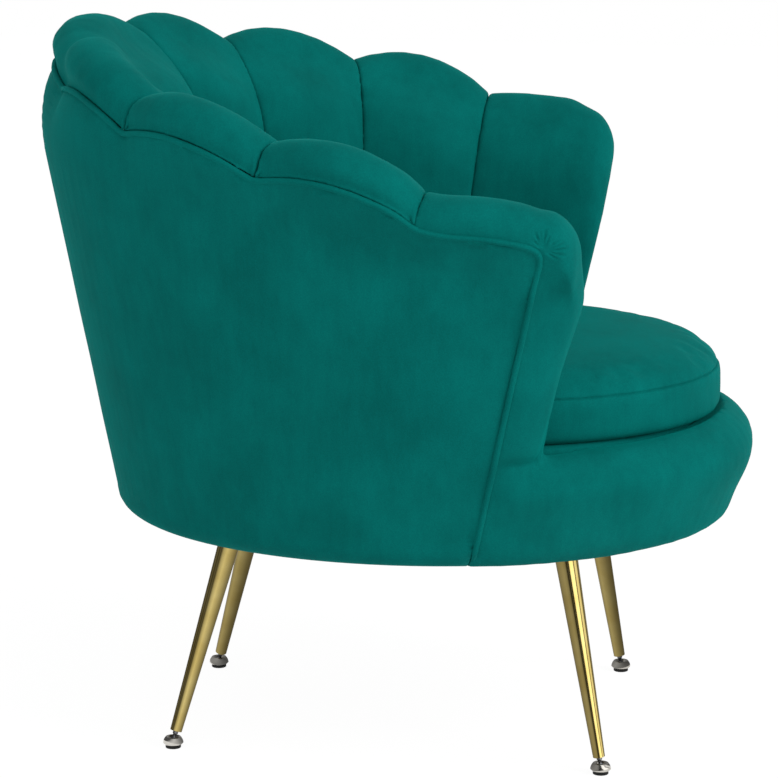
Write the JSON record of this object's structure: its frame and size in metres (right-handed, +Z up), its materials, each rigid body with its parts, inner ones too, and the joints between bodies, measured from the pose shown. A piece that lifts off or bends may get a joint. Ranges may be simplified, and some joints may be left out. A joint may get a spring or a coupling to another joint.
{
  "type": "scallop back armchair",
  "caption": "Low velvet tub armchair whose channelled back ends in rolled scallops, with a boxed seat cushion and slender tapered metal legs on tilting glides.",
  "frame": {"origin": "centre of the chair's footprint box, on the floor", "axes": "+Z up, the chair faces -Y, +X is the sitter's left"},
  "size_m": [0.7646, 0.755, 0.756],
  "materials": {
    "velvet": "emerald green velvet",
    "foam": "upholstery foam",
    "dust_cloth": "black dust cloth",
    "spring_steel": "spring wire",
    "screw_steel": "plated screws",
    "zinc_steel": "zinc-plated turned steel",
    "nickel": "bright nickel plate",
    "rubber": "black rubber pad",
    "brass": "polished brass plate on steel tube",
    "timber": "birch plywood and pine"
  },
  "bodies": {
    "chair": {"arm_front_left": "velvet", "arm_front_right": "velvet", "arm_post_left": "timber", "arm_post_right": "timber", "base_board": "timber", "base_front": "velvet", "deck_pad": "foam", "dust_cover": "dust_cloth", "leg_back_left": "brass", "leg_back_right": "brass", "leg_front_left": "brass", "leg_front_right": "brass", "leg_inserts": "zinc_steel", "leg_screws": "screw_steel", "outside_cover": "velvet", "petal_centre": "velvet", "petal_left_1": "velvet", "petal_left_2": "velvet", "petal_left_3": "velvet", "petal_left_4": "velvet", "petal_right_1": "velvet", "petal_right_2": "velvet", "petal_right_3": "velvet", "petal_right_4": "velvet", "piping": "velvet", "rib_arm_left": "timber", "rib_arm_right": "timber", "rib_rear_left": "timber", "rib_rear_right": "timber", "rib_shoulder_left": "timber", "rib_shoulder_right": "timber", "rib_side_left": "timber", "rib_side_right": "timber", "seat_blocks": "timber", "seat_cushion_cover": "velvet", "seat_cushion_foam": "foam", "seat_ring": "timber", "seat_spring_1": "spring_steel", "seat_spring_2": "spring_steel", "seat_spring_3": "spring_steel", "seat_spring_4": "spring_steel", "seat_spring_5": "spring_steel", "spring_clips": "spring_steel", "top_rail": "timber"},
    "stud_front_left": {"glide_stud_front_left": "zinc_steel"},
    "foot_front_left": {"glide_dome_front_left": "nickel", "glide_pad_front_left": "rubber"},
    "stud_front_right": {"glide_stud_front_right": "zinc_steel"},
    "foot_front_right": {"glide_dome_front_right": "nickel", "glide_pad_front_right": "rubber"},
    "stud_back_left": {"glide_stud_back_left": "zinc_steel"},
    "foot_back_left": {"glide_dome_back_left": "nickel", "glide_pad_back_left": "rubber"},
    "stud_back_right": {"glide_stud_back_right": "zinc_steel"},
    "foot_back_right": {"glide_dome_back_right": "nickel", "glide_pad_back_right": "rubber"}
  },
  "joints": [
    {"name": "leveller_front_left", "type": "slide", "parent": "chair", "child": "stud_front_left", "axis": [0.0394, -0.1722, -0.9843], "range_m": [-0.001, 0.01]},
    {"name": "tilt_front_left", "type": "hinge", "parent": "stud_front_left", "child": "foot_front_left", "pos_m": [0.188, -0.233, 0.0076], "axis": [0.9749, 0.2228, 0], "range_deg": [-10, 10]},
    {"name": "leveller_front_right", "type": "slide", "parent": "chair", "child": "stud_front_right", "axis": [-0.0394, -0.1722, -0.9843], "range_m": [-0.001, 0.01]},
    {"name": "tilt_front_right", "type": "hinge", "parent": "stud_front_right", "child": "foot_front_right", "pos_m": [-0.188, -0.233, 0.0076], "axis": [0.9749, -0.2228, 0], "range_deg": [-10, 10]},
    {"name": "leveller_back_left", "type": "slide", "parent": "chair", "child": "stud_back_left", "axis": [0.208, 0.2514, -0.9453], "range_m": [-0.001, 0.01]},
    {"name": "tilt_back_left", "type": "hinge", "parent": "stud_back_left", "child": "foot_back_left", "pos_m": [0.151, 0.221, 0.0076], "axis": [-0.7706, 0.6373, 0], "range_deg": [-10, 10]},
    {"name": "leveller_back_right", "type": "slide", "parent": "chair", "child": "stud_back_right", "axis": [-0.208, 0.2514, -0.9453], "range_m": [-0.001, 0.01]},
    {"name": "tilt_back_right", "type": "hinge", "parent": "stud_back_right", "child": "foot_back_right", "pos_m": [-0.151, 0.221, 0.0076], "axis": [-0.7706, -0.6373, 0], "range_deg": [-10, 10]}
  ]
}
